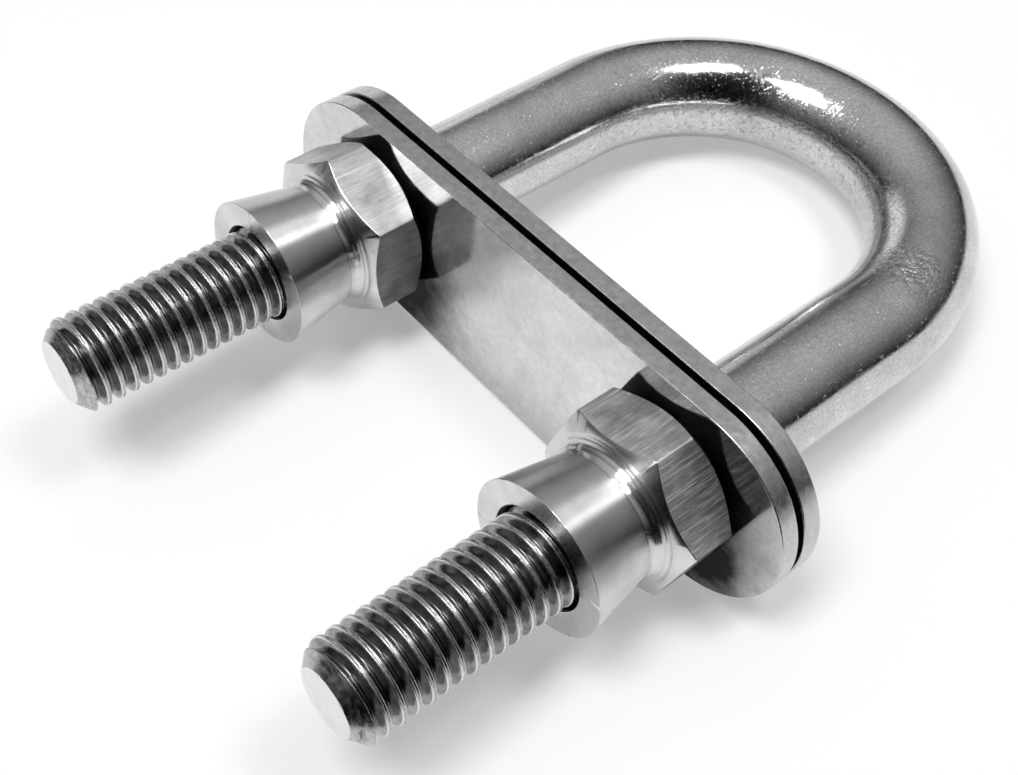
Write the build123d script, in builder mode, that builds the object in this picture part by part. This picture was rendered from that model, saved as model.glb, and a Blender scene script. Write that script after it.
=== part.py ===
"""Bow eye for a small boat: a shouldered U-bolt, an outer plate, a backing plate and two cone nuts.

Frame: the origin is the centre of the outer plate's hull-side face, midway between the studs.
+Y points out of the hull towards the bow of the bolt, the studs run to -Y, and +Z is up.
All sizes are millimetres.
"""
from build123d import *
import math
import os

# Round bar and the line of the bow
bar_d = 12.0
stud_spacing = 44.0
leg_length = 25.2  # straight bar from the outer plate to the start of the bend
side_angle = 43.0  # degrees of turn in each side bend, before the crown bend takes over
crown_radius = 20.8  # bar centreline over the crown

# Studs, drawn at the thread's outside diameter
thread_d = 10.0
stud_length = 44.4  # from the bar's shoulder to the tip
tip_flat_d = 6.8
tip_chamfer_length = 1.5

# Plates, a pair from one pressing
plate_length = 72.6
plate_width = 22.0
plate_thickness = 2.1
plate_gap = 0.8  # the room between the plates as they lie, with no hull between them
hole_clearance = 0.5  # on the diameter

# Cone nuts, from the seat on the backing plate towards the tip
across_flats = 17.0
hex_back_corner = 1.6  # seat to the back end of each corner edge
hex_edge_length = 4.5  # length of each corner edge
hex_back_angle = 36.0
hex_front_angle = 30.0
collar_d = 16.0  # where the front chamfer meets the flare
flare_length = 1.4  # hollow curve from the hexagon down to the neck
neck_d = 13.3
cone_length = 7.6
cone_big_d = 16.2
nut_turns = {"nut_left": -23.6, "nut_right": 13.2}  # degrees each hexagon was left at
thread_clearance = 0.1  # on the diameter, because the thread itself isn't cut here
mouth_d = 11.0  # countersink at the cone end of the nut's bore

# Places along the studs, worked out from the sizes above
shoulder_y = plate_thickness
backing_front_y = -plate_gap
seat_y = backing_front_y - plate_thickness
tip_y = shoulder_y - stud_length
bend_y = shoulder_y + leg_length
half_spacing = stud_spacing / 2
sides = {"nut_left": -half_spacing, "nut_right": half_spacing}

os.makedirs("parts", exist_ok=True)


def finish(solid, label):
    """Labels a finished piece and writes its file."""
    solid.label = label
    export_step(solid, f"parts/{label}.step")


def bow_line():
    """The bar's centreline: leg, side bend, crown bend, side bend, leg, each tangent to the next."""
    turn = math.radians(side_angle)
    side_radius = (half_spacing - crown_radius * math.cos(turn)) / (1 - math.cos(turn))
    side_centre_x = half_spacing - side_radius
    crown_centre_y = bend_y + (side_radius - crown_radius) * math.sin(turn)
    with BuildLine() as line:
        Line((half_spacing, shoulder_y), (half_spacing, bend_y))
        CenterArc((side_centre_x, bend_y), side_radius, 0, side_angle)
        CenterArc((0, crown_centre_y), crown_radius, side_angle, 180 - 2 * side_angle)
        CenterArc((-side_centre_x, bend_y), side_radius, 180 - side_angle, side_angle)
        Line((-half_spacing, bend_y), (-half_spacing, shoulder_y))
    return line.line


def make_u_bolt():
    """One bent bar, turned down to a stud at each end so that a shoulder bears on the outer plate."""
    tip_depth = (thread_d - tip_flat_d) / 2
    with BuildPart() as bolt:
        with BuildLine() as path:
            add(bow_line())
        with BuildSketch(Plane(origin=(half_spacing, shoulder_y, 0), z_dir=(0, 1, 0))):
            Circle(bar_d / 2)
        sweep(path=path.line)
        with BuildSketch(Plane.XZ.offset(-shoulder_y)):
            with GridLocations(stud_spacing, 0, 2, 1):
                Circle(thread_d / 2)
        extrude(amount=stud_length)
        tips = bolt.faces().filter_by(Axis.Y).group_by(Axis.Y)[0]
        for tip in tips:
            chamfer(tip.edges(), length=tip_chamfer_length, length2=tip_depth, reference=tip)
    finish(bolt.part, "u_bolt")


def make_plate(label, front_y):
    """A round-ended plate with a clearance hole for each stud, its hull-bow side at front_y."""
    with BuildPart() as plate:
        with BuildSketch(Plane.XZ.offset(-front_y)):
            SlotOverall(plate_length, plate_width)
            with GridLocations(stud_spacing, 0, 2, 1):
                Circle((thread_d + hole_clearance) / 2, mode=Mode.SUBTRACT)
        extrude(amount=plate_thickness)
    finish(plate.part, label)


def make_nut(label, x, turn):
    """A hexagon nut with a neck and a cone turned on the side away from its seat."""
    corner_r = across_flats / math.sqrt(3)
    front_corner = hex_back_corner + hex_edge_length
    back_face_r = corner_r - hex_back_corner / math.tan(math.radians(hex_back_angle))
    collar_z = front_corner + (corner_r - collar_d / 2) * math.tan(math.radians(hex_front_angle))
    neck_r = neck_d / 2
    neck_z = collar_z + flare_length
    end_z = neck_z + cone_length
    bore_r = (thread_d + thread_clearance) / 2
    mouth_depth = mouth_d / 2 - bore_r
    seat = Plane(origin=(x, seat_y, 0), x_dir=(1, 0, 0), z_dir=(0, -1, 0))
    section = Plane(origin=(x, seat_y, 0), x_dir=(1, 0, 0), z_dir=(0, 0, -1))
    stud_axis = Axis((x, seat_y, 0), (0, -1, 0))

    with BuildPart() as nut:
        with BuildSketch(seat):
            RegularPolygon(across_flats / 2, 6, major_radius=False, rotation=turn)
        extrude(amount=collar_z)
        with BuildSketch(section):
            with BuildLine():
                Polyline(
                    (0, 0),
                    (back_face_r, 0),
                    (corner_r, hex_back_corner),
                    (corner_r, front_corner),
                    (collar_d / 2, collar_z),
                    (0, collar_z),
                    close=True,
                )
            make_face()
        revolve(axis=stud_axis, mode=Mode.INTERSECT)
        with BuildSketch(section):
            with BuildLine():
                Line((0, collar_z), (collar_d / 2, collar_z))
                Bezier((collar_d / 2, collar_z), (neck_r, collar_z), (neck_r, neck_z))
                Polyline(
                    (neck_r, neck_z),
                    (cone_big_d / 2, end_z),
                    (0, end_z),
                    (0, collar_z),
                )
            make_face()
        revolve(axis=stud_axis)
        with BuildSketch(section):
            with BuildLine():
                Polyline(
                    (0, 0),
                    (bore_r, 0),
                    (bore_r, end_z - mouth_depth),
                    (mouth_d / 2, end_z),
                    (0, end_z),
                    close=True,
                )
            make_face()
        revolve(axis=stud_axis, mode=Mode.SUBTRACT)
    finish(nut.part, label)


make_u_bolt()
make_plate("outer_plate", shoulder_y)
make_plate("backing_plate", backing_front_y)
for name, x in sides.items():
    make_nut(name, x, nut_turns[name])
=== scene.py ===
import math

import bmesh
import bpy
from mathutils import Matrix, Vector


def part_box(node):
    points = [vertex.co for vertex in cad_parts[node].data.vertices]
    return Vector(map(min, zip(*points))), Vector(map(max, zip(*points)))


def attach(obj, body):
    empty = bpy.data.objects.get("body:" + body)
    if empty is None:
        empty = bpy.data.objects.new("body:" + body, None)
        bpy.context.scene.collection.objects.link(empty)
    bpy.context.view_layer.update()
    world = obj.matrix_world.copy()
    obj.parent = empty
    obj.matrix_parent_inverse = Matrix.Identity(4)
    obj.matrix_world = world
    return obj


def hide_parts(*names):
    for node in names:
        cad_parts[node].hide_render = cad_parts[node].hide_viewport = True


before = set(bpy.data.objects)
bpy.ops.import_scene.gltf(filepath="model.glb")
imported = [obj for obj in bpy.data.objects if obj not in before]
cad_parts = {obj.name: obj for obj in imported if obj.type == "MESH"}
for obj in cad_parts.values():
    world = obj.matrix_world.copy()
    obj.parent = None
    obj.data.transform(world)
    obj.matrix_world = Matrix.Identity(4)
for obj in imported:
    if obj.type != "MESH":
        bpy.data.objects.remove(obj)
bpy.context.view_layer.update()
MM = 0.001
MICRON = 1e-6
UP = Vector((0, 0, 1))
MERGE_DISTANCE = 1e-7

# Camera, fitted to the photograph
IMAGE_WIDTH = 1018
CAMERA_AZIMUTH = math.radians(49.446)
CAMERA_ELEVATION = math.radians(48.209)
CAMERA_ROLL = math.radians(3.323)
CAMERA_DISTANCE = 144.435 * MM
CAMERA_AIM = (-15.433 * MM, -4.059 * MM)
CAMERA_CLIP = 10 * MM
FOCAL_PIXELS = 1392.9
PRINCIPAL_POINT = (-113.93, -46.27)
SENSOR_WIDTH = 36.0

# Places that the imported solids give
BOLT_LOW, BOLT_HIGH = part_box("u_bolt")
OUTER_LOW, OUTER_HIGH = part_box("outer_plate")
NUT_LOW, NUT_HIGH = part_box("nut_right")
BAR_RADIUS = BOLT_HIGH.z
HALF_SPACING = BOLT_HIGH.x - BAR_RADIUS
SHOULDER_Y = OUTER_HIGH.y
SEAT_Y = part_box("backing_plate")[0].y
TIP_Y = BOLT_LOW.y
NUT_LENGTH = NUT_HIGH.y - NUT_LOW.y

# Bow of the bar
LEG_LENGTH = 25.2 * MM
SIDE_ANGLE = math.radians(43)
CROWN_RADIUS = 20.8 * MM
CROWN_CENTRE = (0, BOLT_HIGH.y - BAR_RADIUS - CROWN_RADIUS, 0)
SHOULDER_CHAMFER = 0.4 * MM
BAR_COLUMNS = 96
BAR_STEPS_PER_ARC = 40

# Marks on the bar: pits inside the crown, and a rough patch on one bend
PITTED_REACH = (CROWN_RADIUS - 4.5 * MM, CROWN_RADIUS - 1.5 * MM)
SCUFF_PLACE = (21.5 * MM, 32.3 * MM, 5.4 * MM)
SCUFF_REACH = (0.5 * MM, 4.5 * MM)

# Studs, with the numbers of their materials
CREST, SEAM, FLANK, ROOT, CHAMFER, TIP = range(6)
THREAD_RADIUS = 5.0 * MM
THREAD_PITCH = 1.57 * MM
THREAD_DEPTH = 0.95 * MM
THREAD_PHASES = {-1: 0.70, 1: 0.85}
THREAD_COLUMNS = 80
CREST_DIP = 0.03 * MM
SHANK_OVERLAP = 1.0 * MM
SHOULDER_CORE = THREAD_RADIUS * 0.9  # the shoulder's inner edge, hidden in the stud
TIP_FLAT_RADIUS = 3.4 * MM
TIP_CHAMFER_LENGTH = 1.5 * MM
CHAMFER_TOLERANCE = 0.001 * MM

# Nuts, measured from the seat towards the tip, with the numbers of their materials
CONE, FLAT, SHADED, SHADED_FLAT, FLARE = range(5)
SIXTH_TURN = math.radians(60)
FLAT_RADIUS = 8.5 * MM
CORNER_RADIUS = FLAT_RADIUS / math.cos(SIXTH_TURN / 2)
BACK_CORNER = 1.6 * MM
FRONT_CORNER = 6.1 * MM
BACK_SLOPE = math.tan(math.radians(36))
FRONT_SLOPE = math.tan(math.radians(30))
BACK_FACE_RADIUS = CORNER_RADIUS - BACK_CORNER / BACK_SLOPE
COLLAR_RADIUS = 8.0 * MM
COLLAR_HEIGHT = FRONT_CORNER + (CORNER_RADIUS - COLLAR_RADIUS) * FRONT_SLOPE
NECK_RADIUS = 6.65 * MM
NECK_LENGTH = 0.3 * MM
FLARE_REACH = COLLAR_RADIUS - NECK_RADIUS
FLARE_STEPS = 15
FLARE_RIDGE = 0.07 * MM
FLARE_RIDGE_STEPS = (4, 5, 9, 10)
NECK_HEIGHT = COLLAR_HEIGHT + FLARE_REACH
CONE_HEIGHT = NECK_HEIGHT + NECK_LENGTH
CONE_STEP = 0.12 * MM
CONE_RADIUS = 8.1 * MM
BORE_RADIUS = 5.05 * MM
MOUTH_RADIUS = 5.5 * MM
MOUTH_DEPTH = 1.3 * MM
EDGE_SOFTNESS = 0.07 * MM
EDGE_SHARE = 0.4  # the most of a side that one softened corner takes
NUT_TURNS = {-1: math.radians(-23.6), 1: math.radians(13.2)}
NUT_COLUMNS_PER_SIDE = 24
CORNER_REACH = math.radians(0.45)
# Levels of the hexagon flats, lit and shaded copies of one steel: the left nut's flats and each
# flat towards +X are painted darker as shade
FLAT_LIGHT_LEVELS = {-1: 0.5, 1: 0.78}
SHADED_FLAT_LEVEL = 0.25

# Plates, with the numbers of their materials
FACE, RIM = range(2)
HOLE_RADIUS = 5.25 * MM
PLATE_EDGE = 0.13 * MM
PLATE_STEPS = 64
# Painted shade on the backing plate below and right of each nut: its centre's offset from the
# stud's axis, its reach, the waver of its edge and its darkest level
PAINTED_SHADE_OFFSET = (4 * MM, -5 * MM)
PAINTED_SHADE_REACH = (5 * MM, 12 * MM)
PAINTED_SHADE_WAVER = 1.5 * MM
PAINTED_SHADE_LEVEL = 0.02

# Floor, which tilts so that the plates' lower edges and the crown rest on it
FLOOR_SIZE = 6.0
FLOOR_COLOUR = 0.68
FLOOR_GLOW = 0.32
REST_TILT = math.atan2(OUTER_HIGH.z - BAR_RADIUS, BOLT_HIGH.y - BAR_RADIUS - OUTER_HIGH.y)
# A painted pool of light on the floor: full within the inner distance, falling to the edge level at
# the outer one
LIGHT_POOL_INNER = 0.6
LIGHT_POOL_OUTER = 2.0
LIGHT_POOL_EDGE = 0.02

# Dark card beside the part
CARD_AZIMUTH = 130
CARD_DISTANCE = 68 * MM
CARD_SHIFT = 105 * MM
CARD_WIDTH = 300 * MM
CARD_HEIGHTS = (-30 * MM, 6 * MM)
CARD_COLOUR = (0.01, 0.01, 0.01, 1)

# The room's grey at each height, from the horizon at 0 to straight above at 1
SKY_STOPS = ((0.0, 0.015), (0.14, 0.02), (0.25, 0.1), (0.5, 0.3), (0.77, 0.58), (1.0, 0.62))

# Spots in the room: azimuth, elevation, inner and outer angle, blend, level around it, level inside
SPOTS = (
    (122, 25, 12, 48, "MULTIPLY", 1.0, 0.03),
    (114, 55, 8, 40, "MULTIPLY", 1.0, 0.08),
    (292, 4, 9, 24, "ADD", 0.0, 1.0),
)

# Softboxes: name, azimuth, elevation, width, height, distance, radiance
SOFTBOXES = (
    ("softbox_front", 188, 68, 0.24, 0.34, 0.8, 13.5),
    ("softbox_back", 50, 72, 0.18, 0.18, 0.8, 13),
)


# Meshes


def piece_from(shape, name, node):
    """Turns a bmesh into a piece that stands for a CAD node. Its many-sided faces stay flat."""
    mesh = bpy.data.meshes.new(name)
    shape.to_mesh(mesh)
    shape.free()
    mesh.polygons.foreach_set("use_smooth", [len(face.vertices) < 5 for face in mesh.polygons])
    piece = bpy.data.objects.new(name, mesh)
    bpy.context.scene.collection.objects.link(piece)
    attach(piece, "root")
    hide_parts(node)
    return piece


def weight_normals(piece):
    """Keeps wide faces flat beside the narrow strips along their edges."""
    piece.modifiers.new("weighted_normals", "WEIGHTED_NORMAL").mode = "FACE_AREA"
    return piece


def ring_of(radius, x, y, columns):
    """Points round a line parallel to the studs."""
    turns = [2 * math.pi * j / columns for j in range(columns)]
    return [Vector((x + radius * math.cos(a), y, radius * math.sin(a))) for a in turns]


def join_rings(mesh, rings):
    """Quads between neighbouring rings of vertices."""
    for ring, beside in zip(rings, rings[1:]):
        for j in range(len(ring)):
            k = (j + 1) % len(ring)
            mesh.faces.new((ring[j], ring[k], beside[k], beside[j]))


def bow_line():
    """The bar's centreline from right to left, as (x, y, angle that its outer side faces)."""
    crown_cos = math.cos(SIDE_ANGLE)
    side_radius = (HALF_SPACING - CROWN_RADIUS * crown_cos) / (1 - crown_cos)
    side_x = HALF_SPACING - side_radius
    bend_y = SHOULDER_Y + LEG_LENGTH
    crown_y = bend_y + (side_radius - CROWN_RADIUS) * math.sin(SIDE_ANGLE)
    line = []
    for i in range(BAR_STEPS_PER_ARC):
        share = i / BAR_STEPS_PER_ARC
        line.append((HALF_SPACING, SHOULDER_Y + share * LEG_LENGTH, 0.0))
    arcs = (
        (side_x, bend_y, side_radius, 0, SIDE_ANGLE),
        (0.0, crown_y, CROWN_RADIUS, SIDE_ANGLE, math.pi - 2 * SIDE_ANGLE),
        (-side_x, bend_y, side_radius, math.pi - SIDE_ANGLE, SIDE_ANGLE),
    )
    for x, y, radius, start, sweep in arcs:
        steps = round(BAR_STEPS_PER_ARC * sweep / SIDE_ANGLE)
        for i in range(steps):
            angle = start + sweep * i / steps
            line.append((x + radius * math.cos(angle), y + radius * math.sin(angle), angle))
    for i in range(BAR_STEPS_PER_ARC + 1):
        share = i / BAR_STEPS_PER_ARC
        line.append((-HALF_SPACING, bend_y - share * LEG_LENGTH, math.pi))
    return line


def make_bar():
    """The bent bar, with a chamfered shoulder at each end."""
    line = bow_line()
    first, last = line[0], line[-1]
    shoulder = (
        (0.0, SHOULDER_CORE),
        (0.0, BAR_RADIUS - SHOULDER_CHAMFER),
        (SHOULDER_CHAMFER, BAR_RADIUS),
    )
    steps = [(first, lift, radius) for lift, radius in shoulder]
    steps += [(point, 0.0, BAR_RADIUS) for point in line[1:-1]]
    steps += [(last, lift, radius) for lift, radius in shoulder[::-1]]
    mesh = bmesh.new()
    rings = []
    for (x, y, angle), lift, radius in steps:
        outward = Vector((math.cos(angle), math.sin(angle), 0))
        centre = Vector((x, y + lift, 0))
        ring = []
        for j in range(BAR_COLUMNS):
            a = 2 * math.pi * j / BAR_COLUMNS
            spoke = outward * math.cos(a) + UP * math.sin(a)
            ring.append(mesh.verts.new(centre + spoke * radius))
        rings.append(ring)
    join_rings(mesh, rings)
    mesh.faces.new(rings[0])
    mesh.faces.new(rings[-1])
    bmesh.ops.recalc_face_normals(mesh, faces=mesh.faces)
    return weight_normals(piece_from(mesh, "bolt_bar", "u_bolt"))


def thread_profile():
    """One pitch of a rolled thread from its crest: (share of the pitch, radius, material)."""
    crest, root = THREAD_RADIUS, THREAD_RADIUS - THREAD_DEPTH
    half = [
        (0.0, crest - CREST_DIP),
        (0.05, crest - CREST_DIP * 0.7),
        (0.08, crest),
        (0.11, crest - 0.01 * MM),
        (0.135, crest - 0.05 * MM),
        (0.16, crest - 0.12 * MM),
        (0.27, (crest + root) / 2 + 0.02 * MM),
        (0.38, root + 0.08 * MM),
        (0.43, root + 0.015 * MM),
        (0.5, root),
    ]
    profile = half + [(1 - share, radius) for share, radius in half[-2:0:-1]]
    # The seam, flank and root zones get materials painted darker as shade
    half_zones = [SEAM] * 2 + [CREST] * 3 + [FLANK] * 2 + [ROOT] * 2
    zones = half_zones + half_zones[::-1]
    return [(share, radius, zone) for (share, radius), zone in zip(profile, zones)]


def chamfer_radius(y):
    """The largest radius that the tip's chamfer leaves at a place along the stud."""
    slope = (THREAD_RADIUS - TIP_FLAT_RADIUS) / TIP_CHAMFER_LENGTH
    return TIP_FLAT_RADIUS + (y - TIP_Y) * slope


def on_chamfer(place, x):
    """True where a point of the stud at x lies on its tip's chamfer."""
    return math.hypot(place.x - x, place.z) > chamfer_radius(place.y) - CHAMFER_TOLERANCE


def make_stud(side, name):
    """A threaded stud. Its rows follow the helix: one that comes round joins the row a pitch on."""
    columns = THREAD_COLUMNS
    x = side * HALF_SPACING
    profile = thread_profile()
    thread_start = SEAT_Y + THREAD_PITCH
    pitches = math.ceil((thread_start - TIP_Y) / THREAD_PITCH) + 2
    rows = []
    for k in range(-1, pitches):
        rows += [(k + share, radius, zone) for share, radius, zone in profile]
    mesh = bmesh.new()
    grid = []
    for share, radius, _ in rows:
        ring = []
        for j in range(columns):
            turn = j / columns
            y = TIP_Y + THREAD_PITCH * (share + THREAD_PHASES[side] - turn)
            y = min(max(y, TIP_Y), thread_start)
            r = THREAD_RADIUS if y == thread_start else radius
            r = min(r, chamfer_radius(y))
            a = 2 * math.pi * turn
            ring.append(mesh.verts.new((x + r * math.cos(a), y, r * math.sin(a))))
        grid.append(ring)
    for i, (ring, beside) in enumerate(zip(grid, grid[1:])):
        quads = [(ring[j], ring[j + 1], beside[j + 1], beside[j]) for j in range(columns - 1)]
        lower = i - len(profile)
        if lower >= 0:
            quads.append((ring[-1], grid[lower][0], grid[lower + 1][0], beside[-1]))
        for quad in quads:
            chamfered = all(on_chamfer(v.co, x) for v in quad)
            mesh.faces.new(quad).material_index = CHAMFER if chamfered else rows[i][2]
    places = (
        (TIP_FLAT_RADIUS, TIP_Y),
        (THREAD_RADIUS, thread_start),
        (THREAD_RADIUS, SHOULDER_Y + SHANK_OVERLAP),
    )
    tip, start, end = [
        [mesh.verts.new(v) for v in ring_of(radius, x, y, columns)] for radius, y in places
    ]
    mesh.faces.new(tip).material_index = TIP
    mesh.faces.new(end)
    join_rings(mesh, [start, end])
    bmesh.ops.remove_doubles(mesh, verts=mesh.verts, dist=MERGE_DISTANCE)
    bmesh.ops.dissolve_degenerate(mesh, edges=mesh.edges, dist=MERGE_DISTANCE / 10)
    bmesh.ops.recalc_face_normals(mesh, faces=mesh.faces)
    return piece_from(mesh, name, "u_bolt")


def soften(outline):
    """Replaces each sharp corner of a closed outline with two points, so that its edge shines."""
    soft = []
    for i, (here, sharp) in enumerate(outline):
        point = Vector(here)
        if not sharp:
            soft.append(point)
            continue
        for other, _ in (outline[i - 1], outline[(i + 1) % len(outline)]):
            towards = Vector(other) - point
            reach = min(EDGE_SOFTNESS, towards.length * EDGE_SHARE)
            soft.append(point + towards.normalized() * reach)
    return soft


def nut_outline(hex_radius):
    """The nut's closed section, as (radius, height), where the hexagon's side is hex_radius out."""
    hexagon = (
        (BORE_RADIUS, MOUTH_DEPTH),
        (MOUTH_RADIUS, 0.0),
        (BACK_FACE_RADIUS, 0.0),
        (hex_radius, (hex_radius - BACK_FACE_RADIUS) * BACK_SLOPE),
        (hex_radius, FRONT_CORNER + (CORNER_RADIUS - hex_radius) * FRONT_SLOPE),
        (COLLAR_RADIUS, COLLAR_HEIGHT),
    )
    flare = []
    for i in range(1, FLARE_STEPS):
        a = math.radians(90) * i / FLARE_STEPS
        reach = FLARE_REACH - (FLARE_RIDGE if i in FLARE_RIDGE_STEPS else 0.0)
        flare.append((COLLAR_RADIUS - reach * math.sin(a), NECK_HEIGHT - reach * math.cos(a)))
    cone = (
        (NECK_RADIUS, NECK_HEIGHT),
        (NECK_RADIUS, CONE_HEIGHT),
        (NECK_RADIUS + CONE_STEP, CONE_HEIGHT),
        (CONE_RADIUS, NUT_LENGTH),
        (MOUTH_RADIUS, NUT_LENGTH),
        (BORE_RADIUS, NUT_LENGTH - MOUTH_DEPTH),
    )
    outline = [(point, True) for point in hexagon]
    outline += [(point, False) for point in flare]
    outline += [(point, True) for point in cone]
    return soften(outline)


def make_nut(side, name, node):
    """A hexagon nut that goes over into a neck and a cone."""
    x = side * HALF_SPACING
    angles = []
    for corner in range(6):
        start = NUT_TURNS[side] + SIXTH_TURN * corner
        angles += [start - CORNER_REACH, start + CORNER_REACH]
        steps = range(1, NUT_COLUMNS_PER_SIDE)
        angles += [start + SIXTH_TURN * i / NUT_COLUMNS_PER_SIDE for i in steps]
    mesh = bmesh.new()
    grid = []
    for angle in angles:
        from_flat = (angle - NUT_TURNS[side]) % SIXTH_TURN - SIXTH_TURN / 2
        column = []
        for radius, height in nut_outline(FLAT_RADIUS / math.cos(from_flat)):
            place = (x + radius * math.cos(angle), SEAT_Y - height, radius * math.sin(angle))
            column.append(mesh.verts.new(place))
        grid.append(column)
    join_rings(mesh, grid + grid[:1])
    bmesh.ops.recalc_face_normals(mesh, faces=mesh.faces)
    return weight_normals(piece_from(mesh, name, node))


def plate_loops(high):
    """A plate's outline and holes, as loops of (x, z) that leave room for the broken edge."""
    end_x = high.x - high.z
    inset = high.z - PLATE_EDGE
    outline = []
    for side, start in ((1, -90), (-1, 90)):
        for i in range(PLATE_STEPS + 1):
            a = math.radians(start + 180 * i / PLATE_STEPS)
            outline.append((side * end_x + inset * math.cos(a), inset * math.sin(a)))
    loops = [outline]
    for side in (-1, 1):
        hole = ring_of(HOLE_RADIUS + PLATE_EDGE, side * HALF_SPACING, 0, PLATE_STEPS)
        loops.append([(v.x, v.z) for v in hole])
    return loops


def make_plate(name, node):
    """A round-ended plate with two holes, cut from sheet, with its edges slightly broken."""
    low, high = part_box(node)
    curve = bpy.data.curves.new(name, "CURVE")
    curve.dimensions = "2D"
    curve.fill_mode = "BOTH"
    curve.extrude = (high.y - low.y) / 2 - PLATE_EDGE
    curve.bevel_depth = PLATE_EDGE
    curve.bevel_resolution = 3
    for loop in plate_loops(high):
        spline = curve.splines.new("POLY")
        spline.points.add(len(loop) - 1)
        for point, (x, z) in zip(spline.points, loop):
            point.co = (x, z, 0, 1)
        spline.use_cyclic_u = True
    drawn = bpy.data.objects.new(name + "_curve", curve)
    bpy.context.scene.collection.objects.link(drawn)
    bpy.context.view_layer.update()
    drawn_now = drawn.evaluated_get(bpy.context.evaluated_depsgraph_get())
    mesh = bmesh.new()
    mesh.from_mesh(bpy.data.meshes.new_from_object(drawn_now))
    bpy.data.objects.remove(drawn)
    stand_up = Matrix(((1, 0, 0), (0, 0, 1), (0, 1, 0))).to_4x4()
    to_place = Matrix.Translation((0, (low.y + high.y) / 2, 0))
    bmesh.ops.transform(mesh, matrix=to_place @ stand_up, verts=mesh.verts)
    bmesh.ops.remove_doubles(mesh, verts=mesh.verts, dist=MERGE_DISTANCE)
    bmesh.ops.recalc_face_normals(mesh, faces=mesh.faces)
    return weight_normals(piece_from(mesh, name, node))


# Materials


class Nodes:
    """A node tree that grows node by node."""

    def __init__(self, tree):
        self.nodes = tree.nodes
        self.links = tree.links

    def add(self, kind, **settings):
        """A new node with these properties."""
        node = self.nodes.new(kind)
        for key, value in settings.items():
            setattr(node, key, value)
        return node

    def feed(self, node, values):
        """Sets or links a node's inputs by name or number."""
        for key, value in values.items():
            socket = node.inputs[key]
            if isinstance(value, bpy.types.NodeSocket):
                self.links.new(value, socket)
            else:
                socket.default_value = value
        return node

    def math(self, operation, *values):
        node = self.add("ShaderNodeMath", operation=operation)
        return self.feed(node, dict(enumerate(values))).outputs[0]

    def product(self, first, *others):
        for other in others:
            first = self.math("MULTIPLY", first, other)
        return first

    def total(self, first, *others):
        for other in others:
            first = self.math("ADD", first, other)
        return first

    def vector(self, operation, *values):
        node = self.add("ShaderNodeVectorMath", operation=operation)
        return self.feed(node, dict(enumerate(values))).outputs

    def split(self, place):
        """A place's x, y and z."""
        return self.feed(self.add("ShaderNodeSeparateXYZ"), {0: place}).outputs

    def spread(self, value, low, high, start=0.3, end=0.7, fall="LINEAR"):
        """Maps start to end, which suits a noise if not given, onto low to high."""
        node = self.add("ShaderNodeMapRange", interpolation_type=fall)
        self.feed(node, {0: value, 1: start, 2: end, 3: low, 4: high})
        return node.outputs[0]


class Shader(Nodes):
    """A metal. Its scales count waves to the metre, and its depths are in metres."""

    def __init__(self, name, colour, roughness):
        self.material = bpy.data.materials.new(name)
        self.material.use_nodes = True
        super().__init__(self.material.node_tree)
        self.surface = self.nodes["Principled BSDF"]
        grey = (colour, colour, colour, 1)
        self.feed(self.surface, {"Metallic": 1.0, "Base Color": grey, "Roughness": roughness})
        self.place = self.add("ShaderNodeTexCoord").outputs["Object"]

    def noise(self, scale, detail=4.0, roughness=0.5, distortion=0.0, stretch=None):
        """Noise over the object. A stretch below 1 draws it out along that axis."""
        place = self.vector("MULTIPLY", self.place, stretch)[0] if stretch else self.place
        values = {"Vector": place, "Scale": scale, "Detail": detail}
        values.update({"Roughness": roughness, "Distortion": distortion})
        return self.feed(self.add("ShaderNodeTexNoise"), values).outputs["Fac"]

    def peaks(self, value, start, end):
        """1 where a noise lies above end, 0 where it lies below start."""
        return self.spread(value, 0.0, 1.0, start, end)

    def graded(self, value, low, high):
        """Maps the range from 0 to 1 onto low to high."""
        return self.spread(value, low, high, 0.0, 1.0)

    def from_stud(self, right=0.0, up=0.0):
        """Distance from the nearer stud's axis, or from a line right of it and above it."""
        x, _, z = self.split(self.place)
        axis = self.math("MULTIPLY", self.math("SIGN", x), HALF_SPACING)
        x = self.math("SUBTRACT", self.math("SUBTRACT", x, axis), right)
        z = self.math("SUBTRACT", z, up)
        return self.math("SQRT", self.total(self.product(x, x), self.product(z, z)))

    def near(self, place, inner, outer):
        """1 within the inner distance of a place, falling to 0 at the outer one."""
        apart = self.vector("DISTANCE", self.place, place)["Value"]
        return self.spread(apart, 1.0, 0.0, inner, outer)

    def rings(self, scale):
        """Noise that varies only across turned rings about the stud's axis."""
        _, y, _ = self.split(self.place)
        node = self.add("ShaderNodeTexNoise", noise_dimensions="1D")
        self.feed(node, {"W": self.total(self.from_stud(), y), "Scale": scale, "Detail": 3.0})
        return node.outputs["Fac"]

    def bumps(self, *layers):
        """The normal that layers of (height, depth) give, laid over one another."""
        normal = None
        for height, depth in layers:
            values = {"Height": height, "Distance": depth, "Strength": 1.0}
            if normal:
                values["Normal"] = normal
            normal = self.feed(self.add("ShaderNodeBump"), values).outputs["Normal"]
        return normal

    def finish(self, roughness, shade=None, normal=None):
        """Lets the surface vary, and gives the material."""
        self.feed(self.surface, {"Roughness": roughness})
        if normal:
            self.feed(self.surface, {"Normal": normal})
        if shade:
            grey = self.feed(self.add("ShaderNodeCombineColor"), {0: shade, 1: shade, 2: shade})
            self.feed(self.surface, {"Base Color": grey.outputs[0]})
        return self.material


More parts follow.
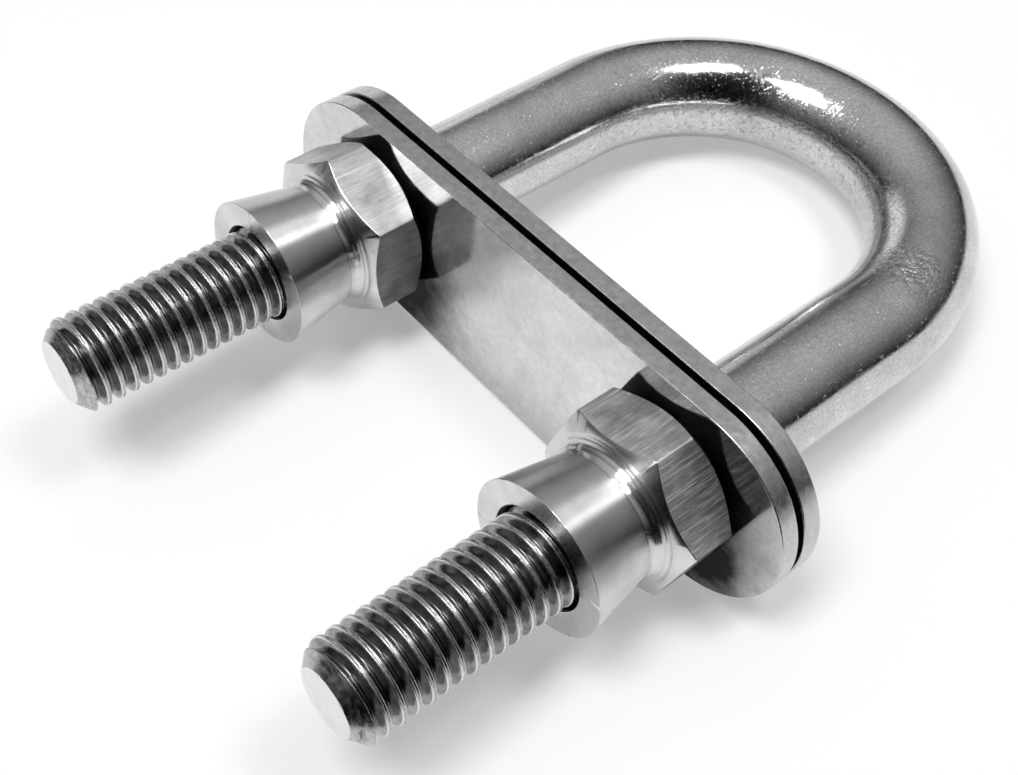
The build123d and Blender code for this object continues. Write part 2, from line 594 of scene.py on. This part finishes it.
def bar_steel():
    """Satin bar: bright flecks and scratches, a rough patch on one bend, and pits in the crown."""
    s = Shader("satin_bar", 0.6, 0.2)
    grain = s.noise(3600, 4.0, 0.6)
    mottle = s.noise(420)
    cloud = s.noise(170, 5.0, 0.6)
    rub = s.noise(1600, stretch=(1, 0.25, 1))
    flecks = s.peaks(s.noise(2900, 2.0), 0.665, 0.75)
    scratches = s.peaks(s.noise(3600, 2.0, stretch=(1, 0.16, 0.16)), 0.65, 0.74)
    pits = s.peaks(s.noise(1500, 4.0, 0.65), 0.53, 0.68)
    pits = s.product(pits, s.near(CROWN_CENTRE, *PITTED_REACH))
    scuff = s.spread(s.noise(2300, 3.0, 0.6, stretch=(1.2, 0.7, 1)), -1.0, 1.0, 0.4, 0.6)
    scuff = s.product(scuff, s.near(SCUFF_PLACE, *SCUFF_REACH))
    normal = s.bumps(
        (grain, 5 * MICRON),
        (mottle, 6 * MICRON),
        (flecks, 13 * MICRON),
        (scratches, 8 * MICRON),
        (pits, -16 * MICRON),
        (scuff, 30 * MICRON),
    )
    shade = s.product(
        s.spread(grain, 0.48, 0.72),
        s.spread(cloud, 0.8, 1.08),
        s.graded(pits, 1.0, 0.62),
    )
    shade = s.total(
        shade,
        s.spread(scuff, -0.16, 0.16, -1.0, 1.0),
        s.graded(s.math("MAXIMUM", flecks, scratches), 0.0, 0.12),
    )
    return s.finish(s.spread(rub, 0.1, 0.19), shade, normal)


def worn_steel(s, wear, roughness, shades=None, depth=None):
    """A metal whose roughness, shade and relief all follow one noise."""
    shade = s.spread(wear, *shades) if shades else None
    normal = s.bumps((wear, depth)) if depth else None
    return s.finish(s.spread(wear, *roughness), shade, normal)


def crest_steel():
    """The scuffed edges of the thread's crest."""
    s = Shader("thread_crest", 0.7, 0.3)
    return worn_steel(s, s.noise(2600, 4.0, 0.6), (0.18, 0.38), (0.6, 0.8), 3 * MICRON)


def seam_steel():
    """The seam that rolling leaves along the crest, painted darker as shade."""
    s = Shader("thread_seam", 0.42, 0.25)
    return worn_steel(s, s.noise(1800, 4.0, 0.6), (0.16, 0.34), (0.24, 0.54))


def flank_steel():
    """The thread's flanks, painted dark as shade."""
    s = Shader("thread_flank", 0.3, 0.18)
    return worn_steel(s, s.noise(900, 4.0, 0.6), (0.12, 0.26), (0.14, 0.38))


def root_steel():
    """The thread's roots, painted nearly black as shade."""
    s = Shader("thread_root", 0.12, 0.25)
    return worn_steel(s, s.noise(1200), (0.18, 0.32))


def chamfer_steel():
    """The rough chamfer round the stud's tip."""
    s = Shader("stud_chamfer", 0.42, 0.3)
    rough = s.noise(1500, 4.0, 0.6, stretch=(1, 2, 1))
    return worn_steel(s, rough, (0.18, 0.36), (0.26, 0.6), 15 * MICRON)


def tip_steel():
    """The stud's pale sawn tip."""
    s = Shader("stud_tip", 0.8, 0.38)
    return worn_steel(s, s.noise(700, 4.0, 0.6), (0.3, 0.44), (0.76, 0.88), 3 * MICRON)


def turned_steel(name, smooth, rough):
    """Lathe-turned surfaces with fine rings."""
    s = Shader(name, 0.6, rough)
    tangent = s.add("ShaderNodeTangent", direction_type="RADIAL", axis="Y").outputs[0]
    s.feed(s.surface, {"Anisotropic": 0.98, "Anisotropic Rotation": 0.25, "Tangent": tangent})
    fine = s.rings(9000)
    wide = s.rings(1400)
    cloud = s.noise(260, 4.0, 0.6)
    shade = s.product(s.spread(fine, 0.64, 0.72), s.spread(cloud, 0.82, 1.08))
    normal = s.bumps((fine, 0.6 * MICRON), (wide, 0.9 * MICRON))
    return s.finish(s.spread(fine, smooth, rough), shade, normal)


def drawn_steel(name, level):
    """Hexagon flats as drawn, with a few bright scratches along the nut. Their level is painted
    light and shade: each nut, and each flat towards +X, gets its own copy.
    """
    s = Shader(name, level, 0.4)
    grain = s.noise(3600, 5.0, 0.65, stretch=(1, 0.12, 1))
    scratches = s.peaks(s.noise(7500, 1.0, stretch=(1, 0.02, 1)), 0.61, 0.64)
    cloud = s.noise(300, 4.0, 0.6)
    shade = s.product(s.spread(grain, 0.72, 1.14), s.spread(cloud, level * 0.62, level * 1.18))
    shade = s.total(shade, s.graded(scratches, 0.0, level * 0.32))
    normal = s.bumps((grain, 4 * MICRON), (scratches, 6 * MICRON))
    return s.finish(s.spread(grain, 0.34, 0.46), shade, normal)


def shaded_steel():
    """The nuts' back chamfers and bores, painted nearly black as shade."""
    s = Shader("shaded_steel", 0.04, 0.35)
    return worn_steel(s, s.noise(900), (0.3, 0.45))


def plate_face_steel(name, shaded_below_nuts):
    """A plate's cloudy faces, darker towards the lower edge. Painted shade can darken them below
    and right of the nuts.
    """
    s = Shader(name, 0.66, 0.12)
    mottle = s.noise(1300, 5.0, 0.6)
    specks = s.peaks(s.noise(2400, 3.0, 0.6), 0.6, 0.7)
    scratch = s.noise(3000, 3.0, stretch=(1, 1, 0.06))
    cloud = s.noise(130, 5.0, 0.65, 0.8)
    _, _, height = s.split(s.place)
    shade = s.product(
        s.spread(mottle, 0.6, 0.7),
        s.graded(specks, 1.0, 0.84),
        s.spread(cloud, 0.84, 1.1),
        s.spread(height, 0.72, 1.0, OUTER_LOW.z, OUTER_LOW.z / 2),
    )
    # Painted shade below and right of each nut
    if shaded_below_nuts:
        waver = s.spread(s.noise(260, 4.0, 0.6), -PAINTED_SHADE_WAVER, PAINTED_SHADE_WAVER)
        apart = s.total(s.from_stud(*PAINTED_SHADE_OFFSET), waver)
        shade = s.product(shade, s.spread(apart, PAINTED_SHADE_LEVEL, 1.0, *PAINTED_SHADE_REACH))
    normal = s.bumps((scratch, 1.2 * MICRON), (mottle, 2.5 * MICRON))
    return s.finish(s.spread(mottle, 0.09, 0.16), shade, normal)


def plate_rim_steel():
    """The plates' satin cut edges."""
    s = Shader("plate_rim", 0.56, 0.26)
    return worn_steel(s, s.noise(1400, 5.0, 0.6), (0.2, 0.3), (0.44, 0.62), 4 * MICRON)


def paint(piece, *materials):
    """Gives a piece its materials, which are numbered from 0."""
    for material in materials:
        piece.data.materials.append(material)


def mark(piece, test, number):
    """Gives the faces that pass a test the piece's material of that number."""
    for face in piece.data.polygons:
        if test(face):
            face.material_index = number


def from_axis(place):
    """Distance of a nut's point from the nut's own axis."""
    return math.hypot(abs(place.x) - HALF_SPACING, place.z)


def is_flat(face):
    """True on the hexagon's flats."""
    sideways = abs(face.normal.y) < 0.2
    return sideways and from_axis(face.center) > FLAT_RADIUS - 0.1 * MM


def is_shaded_flat(face):
    """True on each nut's flat towards +X, which is painted darker as shade."""
    faces_right = face.normal.x > 0.9
    return faces_right and is_flat(face)


def is_shaded(face):
    """True on the back chamfer and in the bore, which are painted as shade."""
    at_back = face.center.y > SEAT_Y - BACK_CORNER - 1 * MM
    faces_back = face.normal.y > 0.3
    in_bore = from_axis(face.center) < MOUTH_RADIUS - EDGE_SOFTNESS
    return in_bore or (at_back and faces_back)


def is_flare(face):
    """True on the end face and on all between seat and cone, some of which is marked again."""
    before_cone = face.center.y > SEAT_Y - CONE_HEIGHT
    across = abs(face.normal.y) > 0.5
    return before_cone or across


def is_rim(face):
    """True on a plate's cut edges and in its holes."""
    return abs(face.normal.y) < 0.9


# Studio


def direction(azimuth, elevation):
    """A unit vector from degrees clockwise from +Y, seen from above, and degrees above level."""
    a, e = math.radians(azimuth), math.radians(elevation)
    return Vector((math.sin(a) * math.cos(e), math.cos(a) * math.cos(e), math.sin(e)))


def add_camera():
    """The photograph's camera."""
    a, e = CAMERA_AZIMUTH, CAMERA_ELEVATION
    right = Vector((math.cos(a), math.sin(a), 0))
    back = Vector((math.sin(a) * math.cos(e), -math.cos(a) * math.cos(e), math.sin(e)))
    up = back.cross(right)
    data = bpy.data.cameras.new("camera")
    camera = bpy.data.objects.new("camera", data)
    bpy.context.scene.collection.objects.link(camera)
    level = Matrix((right, up, back)).transposed().to_4x4()
    place = back * CAMERA_DISTANCE + right * CAMERA_AIM[0] + up * CAMERA_AIM[1]
    place.y += SHOULDER_Y
    roll = Matrix.Rotation(CAMERA_ROLL, 4, "Z")
    camera.matrix_world = Matrix.Translation(place) @ (level @ roll)
    data.sensor_width = SENSOR_WIDTH
    data.lens = FOCAL_PIXELS / IMAGE_WIDTH * SENSOR_WIDTH
    data.shift_x = -PRINCIPAL_POINT[0] / IMAGE_WIDTH
    data.shift_y = PRINCIPAL_POINT[1] / IMAGE_WIDTH
    data.clip_start = CAMERA_CLIP
    bpy.context.scene.camera = camera


def floor_white():
    """Matt white that also glows to the camera and in the metal. A painted pool of light makes it
    darken far from the part.
    """
    material = bpy.data.materials.new("floor_white")
    material.use_nodes = True
    tree = Nodes(material.node_tree)
    tree.nodes.clear()
    paths = tree.add("ShaderNodeLightPath").outputs
    seen = tree.math("MAXIMUM", paths["Is Camera Ray"], paths["Is Glossy Ray"])
    seen = tree.math("MAXIMUM", seen, paths["Is Transmission Ray"])
    place = tree.add("ShaderNodeTexCoord").outputs["Object"]
    distance = tree.vector("LENGTH", place)["Value"]
    light_pool = tree.spread(distance, 1.0, LIGHT_POOL_EDGE, LIGHT_POOL_INNER, LIGHT_POOL_OUTER, "SMOOTHSTEP")
    strength = tree.product(light_pool, tree.product(seen, FLOOR_GLOW))
    glow = tree.feed(tree.add("ShaderNodeEmission"), {"Strength": strength})
    colour = tree.product(light_pool, FLOOR_COLOUR)
    matt = tree.feed(tree.add("ShaderNodeBsdfDiffuse"), {"Color": colour})
    both = tree.feed(tree.add("ShaderNodeAddShader"), {0: glow.outputs[0], 1: matt.outputs[0]})
    tree.feed(tree.add("ShaderNodeOutputMaterial"), {0: both.outputs[0]})
    return material


def add_floor():
    """The plane that the part rests on."""
    place = (0, OUTER_HIGH.y, OUTER_LOW.z)
    bpy.ops.mesh.primitive_plane_add(size=FLOOR_SIZE, location=place)
    floor = bpy.context.object
    floor.name = "floor"
    floor.rotation_euler.x = REST_TILT
    floor.data.materials.append(floor_white())


def card_black():
    """Matt black."""
    material = bpy.data.materials.new("card_black")
    material.use_nodes = True
    tree = Nodes(material.node_tree)
    surface = tree.nodes["Principled BSDF"]
    tree.feed(surface, {"Base Color": CARD_COLOUR, "Specular IOR Level": 0.0})
    return material


def add_dark_card():
    """A low dark card between the part and the photographer, seen only in the metal."""
    towards = direction(CARD_AZIMUTH, 0)
    along = Vector((-towards.y, towards.x, 0))
    foot = towards * CARD_DISTANCE + along * CARD_SHIFT
    half = along * CARD_WIDTH / 2
    low, high = UP * CARD_HEIGHTS[0], UP * CARD_HEIGHTS[1]
    corners = [foot - half + low, foot + half + low, foot + half + high, foot - half + high]
    mesh = bpy.data.meshes.new("dark_card")
    mesh.from_pydata(corners, [], [(0, 1, 2, 3)])
    mesh.materials.append(card_black())
    card = bpy.data.objects.new("dark_card", mesh)
    bpy.context.scene.collection.objects.link(card)
    card.visible_camera = False
    card.visible_diffuse = False
    card.visible_shadow = False


def add_sky():
    """A grey room, darker towards the floor and behind the photographer, with a low window."""
    world = bpy.data.worlds.new("room")
    bpy.context.scene.world = world
    world.use_nodes = True
    tree = Nodes(world.node_tree)
    place = tree.add("ShaderNodeTexCoord").outputs["Generated"]
    _, _, height = tree.split(place)
    ramp = tree.feed(tree.add("ShaderNodeValToRGB"), {0: height})
    stops = ramp.color_ramp.elements
    while len(stops) < len(SKY_STOPS):
        stops.new(0.5)
    for stop, (position, grey) in zip(stops, SKY_STOPS):
        stop.position = position
        stop.color = (grey, grey, grey, 1)
    colour = ramp.outputs[0]
    for azimuth, elevation, inner, outer, blend, around, level in SPOTS:
        facing = tree.vector("DOT_PRODUCT", place, direction(azimuth, elevation))["Value"]
        start, end = math.cos(math.radians(outer)), math.cos(math.radians(inner))
        spot = tree.spread(facing, around, level, start, end, "SMOOTHSTEP")
        mix = tree.add("ShaderNodeMix", data_type="RGBA", blend_type=blend)
        colour = tree.feed(mix, {"Factor": 1.0, 6: colour, 7: spot}).outputs[2]
    tree.feed(tree.nodes["Background"], {0: colour})


def add_softbox(name, azimuth, elevation, width, height, distance, radiance):
    """A rectangular lamp that points at the part."""
    data = bpy.data.lights.new(name, "AREA")
    data.shape = "RECTANGLE"
    data.size = width
    data.size_y = height
    data.energy = radiance * math.pi * width * height
    lamp = bpy.data.objects.new(name, data)
    bpy.context.scene.collection.objects.link(lamp)
    towards = direction(azimuth, elevation)
    turn = towards.to_track_quat("Z", "Y").to_matrix().to_4x4()
    lamp.matrix_world = Matrix.Translation(towards * distance) @ turn
    lamp.visible_camera = False


bpy.context.scene.view_settings.view_transform = "Standard"
add_camera()
add_floor()
add_dark_card()
add_sky()
for softbox in SOFTBOXES:
    add_softbox(*softbox)

paint(make_bar(), bar_steel())

# In the order of CREST, SEAM, FLANK, ROOT, CHAMFER and TIP
stud_steels = (
    crest_steel(),
    seam_steel(),
    flank_steel(),
    root_steel(),
    chamfer_steel(),
    tip_steel(),
)
for side, name in ((-1, "stud_left"), (1, "stud_right")):
    paint(make_stud(side, name), *stud_steels)

cone = turned_steel("turned_cone", 0.29, 0.32)
shaded = shaded_steel()
# The flats towards +X, painted darker as shade
shaded_flat = drawn_steel("drawn_hexagon_shaded_flat", SHADED_FLAT_LEVEL)
flare = turned_steel("turned_flare", 0.22, 0.25)
for side, name, node in ((-1, "cone_nut_left", "nut_left"), (1, "cone_nut_right", "nut_right")):
    nut = make_nut(side, name, node)
    flats = drawn_steel(name + "_flats", FLAT_LIGHT_LEVELS[side])
    paint(nut, cone, flats, shaded, shaded_flat, flare)
    mark(nut, is_flare, FLARE)
    mark(nut, is_flat, FLAT)
    mark(nut, is_shaded, SHADED)
    mark(nut, is_shaded_flat, SHADED_FLAT)

rim = plate_rim_steel()
for name, node in (("plate_outer", "outer_plate"), ("plate_backing", "backing_plate")):
    plate = make_plate(name, node)
    # Only the backing plate gets painted shade below the nuts
    shaded_below_nuts = node == "backing_plate"
    paint(plate, plate_face_steel(name + "_face", shaded_below_nuts), rim)
    mark(plate, is_rim, RIM)
